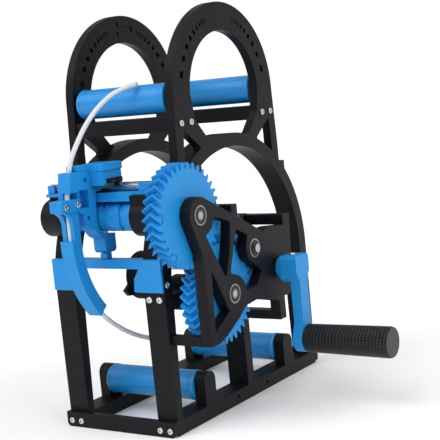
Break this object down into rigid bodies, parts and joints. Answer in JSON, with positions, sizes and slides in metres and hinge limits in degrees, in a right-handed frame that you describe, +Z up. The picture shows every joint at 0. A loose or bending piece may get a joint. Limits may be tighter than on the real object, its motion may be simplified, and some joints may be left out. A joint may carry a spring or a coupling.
{
  "type": "filament spool winder",
  "caption": "Hand-cranked filament spool winder: two arched side frames on a base, four rollers, herringbone gears, a level-wind carriage with a guide tube, and a side crank.",
  "frame": {"origin": "centre of the base between the two rails, on the plane it stands on", "axes": "+X along the spindle towards the crank, +Y to the back, away from the level wind, +Z up"},
  "size_m": [0.2563, 0.2845, 0.3467],
  "materials": {
    "black_plastic": "satin, 3D printed",
    "black_grip": "knurled",
    "blue_plastic": "satin, 3D printed",
    "steel": "bright",
    "white_tube": "smooth, translucent",
    "green_board": "gloss"
  },
  "bodies": {
    "root": {"right_side_frame": "black_plastic", "left_side_frame": "black_plastic", "right_arch": "black_plastic", "left_arch": "black_plastic", "base_bar_front": "black_plastic", "base_bar_rear": "black_plastic", "arch_crossbar_front": "black_plastic", "arch_crossbar_rear": "black_plastic", "roller_axles": "steel", "base_screws": "steel", "arch_screws": "steel", "post_screws": "steel", "gear_bracket": "black_plastic", "bracket_spacers": "black_plastic", "frame_bearings": "steel", "bracket_bearings": "steel", "drum_stretcher": "blue_plastic", "guide_rod": "steel", "rod_holders": "blue_plastic", "lower_rail": "blue_plastic"},
    "crank": {"crank_spindle": "steel", "crank_pinion": "blue_plastic", "crank_arm": "blue_plastic", "crank_screw": "steel", "handle_axle": "steel", "spool_hub": "black_plastic"},
    "handle": {"handle_grip": "black_grip", "handle_cap": "black_plastic"},
    "clamp": {"clamp_ring": "black_plastic"},
    "compound": {"compound_gear": "blue_plastic", "compound_shaft": "steel"},
    "lower_wheel": {"lower_gear": "blue_plastic", "lower_gear_shaft": "steel"},
    "drum": {"upper_gear": "blue_plastic", "drum_shaft": "steel", "traverse_drum": "blue_plastic"},
    "lower_front_roller": {"roller_lower_front": "blue_plastic"},
    "lower_rear_roller": {"roller_lower_rear": "blue_plastic"},
    "upper_front_roller": {"roller_upper_front": "blue_plastic"},
    "upper_rear_roller": {"roller_upper_rear": "blue_plastic"},
    "carriage": {"carriage_block": "blue_plastic", "follower_housing": "blue_plastic", "follower_pin": "steel", "follower_cap": "blue_plastic", "guide_arm": "blue_plastic", "tube_clamp": "blue_plastic", "clamp_screws": "steel", "counter_box": "blue_plastic", "counter_lid": "blue_plastic", "circuit_board": "green_board", "pin_header": "black_plastic", "header_pins": "steel", "tube_upper": "white_tube", "tube_held": "white_tube", "tube_lower": "white_tube"}
  },
  "joints": [
    {"name": "crank_turn", "type": "hinge", "parent": "root", "child": "crank", "pos_m": [0, 0, 0.1171], "axis": [1, 0, 0], "continuous": true},
    {"name": "compound_turn", "type": "hinge", "parent": "root", "child": "compound", "pos_m": [0, -0.03596, 0.14021], "axis": [1, 0, 0], "continuous": true},
    {"name": "lower_gear_turn", "type": "hinge", "parent": "root", "child": "lower_wheel", "pos_m": [0, -0.07167, 0.10927], "axis": [1, 0, 0], "continuous": true},
    {"name": "drum_turn", "type": "hinge", "parent": "root", "child": "drum", "pos_m": [0, -0.10893, 0.17864], "axis": [1, 0, 0], "continuous": true},
    {"name": "handle_spin", "type": "hinge", "parent": "crank", "child": "handle", "pos_m": [0, 0, 0.056], "axis": [1, 0, 0], "continuous": true},
    {"name": "clamp_ring_swing", "type": "hinge", "parent": "root", "child": "clamp", "pos_m": [0, 0, 0.1171], "axis": [1, 0, 0], "continuous": true},
    {"name": "lower_front_roller_spin", "type": "hinge", "parent": "root", "child": "lower_front_roller", "pos_m": [0, -0.065, 0.0276], "axis": [1, 0, 0], "continuous": true},
    {"name": "lower_rear_roller_spin", "type": "hinge", "parent": "root", "child": "lower_rear_roller", "pos_m": [0, 0.065, 0.0276], "axis": [1, 0, 0], "continuous": true},
    {"name": "upper_front_roller_spin", "type": "hinge", "parent": "root", "child": "upper_front_roller", "pos_m": [0, -0.0646, 0.27], "axis": [1, 0, 0], "continuous": true},
    {"name": "upper_rear_roller_spin", "type": "hinge", "parent": "root", "child": "upper_rear_roller", "pos_m": [0, 0.0646, 0.27], "axis": [1, 0, 0], "continuous": true},
    {"name": "carriage_slide", "type": "slide", "parent": "root", "child": "carriage", "axis": [1, 0, 0], "range_m": [-0.027, 0.024]}
  ],
  "couplings": [
    {"joint": "compound_turn", "follows": "crank_turn", "ratio": -0.40741},
    {"joint": "lower_gear_turn", "follows": "crank_turn", "ratio": 0.081481},
    {"joint": "drum_turn", "follows": "crank_turn", "ratio": -0.081481}
  ]
}
